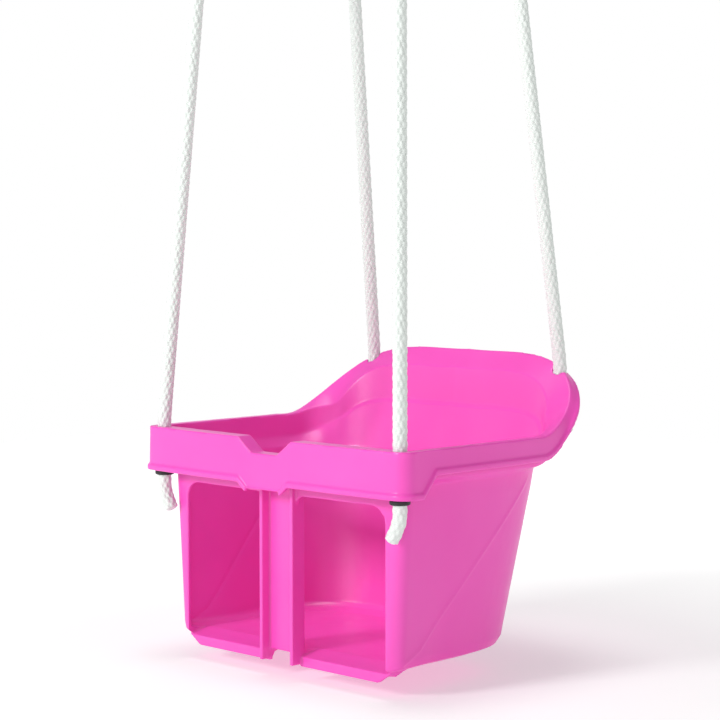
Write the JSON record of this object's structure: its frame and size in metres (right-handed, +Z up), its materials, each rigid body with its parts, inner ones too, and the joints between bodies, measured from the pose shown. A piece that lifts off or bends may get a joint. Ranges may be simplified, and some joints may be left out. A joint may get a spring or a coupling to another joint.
{
  "type": "toddler bucket swing",
  "caption": "Moulded toddler bucket swing seat with raised back, front post and leg openings, hung on taut braided ropes with steel rings.",
  "frame": {"origin": "middle of the four hanging points, where the ropes' eyes go round their rings", "axes": "+Z up, -Y the seat's front, +X to the right seen from the front"},
  "size_m": [0.305, 0.2579, 0.638],
  "materials": {
    "seat_plastic": "satin moulded",
    "rope": "braided",
    "black_rubber": "matte",
    "steel": "galvanised"
  },
  "bodies": {
    "hangers": {"ring_front_left": "steel", "ring_front_right": "steel"},
    "front_ropes": {"rope_front_left": "rope", "rope_front_right": "rope", "clamp_front_left": "black_rubber", "clamp_front_right": "black_rubber", "eye_front_left": "rope", "eye_front_right": "rope"},
    "seat": {"seat_shell": "seat_plastic", "stop_front_left": "black_rubber", "stop_front_right": "black_rubber", "stop_back_left": "black_rubber", "stop_back_right": "black_rubber", "tail_front_left": "rope", "tail_front_right": "rope", "tail_back_left": "rope", "tail_back_right": "rope"},
    "back_ropes": {"rope_back_left": "rope", "rope_back_right": "rope", "clamp_back_left": "black_rubber", "clamp_back_right": "black_rubber", "eye_back_left": "rope", "eye_back_right": "rope", "ring_back_left": "steel", "ring_back_right": "steel"}
  },
  "joints": [
    {"name": "swing", "type": "hinge", "parent": "hangers", "child": "front_ropes", "pos_m": [0, -0.07779, 0], "axis": [1, 0, 0], "range_deg": [-20, 20]},
    {"name": "front_rope_bend", "type": "hinge", "parent": "front_ropes", "child": "seat", "pos_m": [0, -0.10199, -0.406], "axis": [1, 0, 0], "range_deg": [-13.5, 13.5]},
    {"name": "back_rope_bend", "type": "hinge", "parent": "seat", "child": "back_ropes", "pos_m": [0, 0.12322, -0.3597], "axis": [1, 0, 0], "range_deg": [-15.3, 15.3]}
  ],
  "couplings": [
    {"joint": "front_rope_bend", "follows": "swing", "ratio": -0.6735},
    {"joint": "back_rope_bend", "follows": "swing", "ratio": 0.7602}
  ]
}
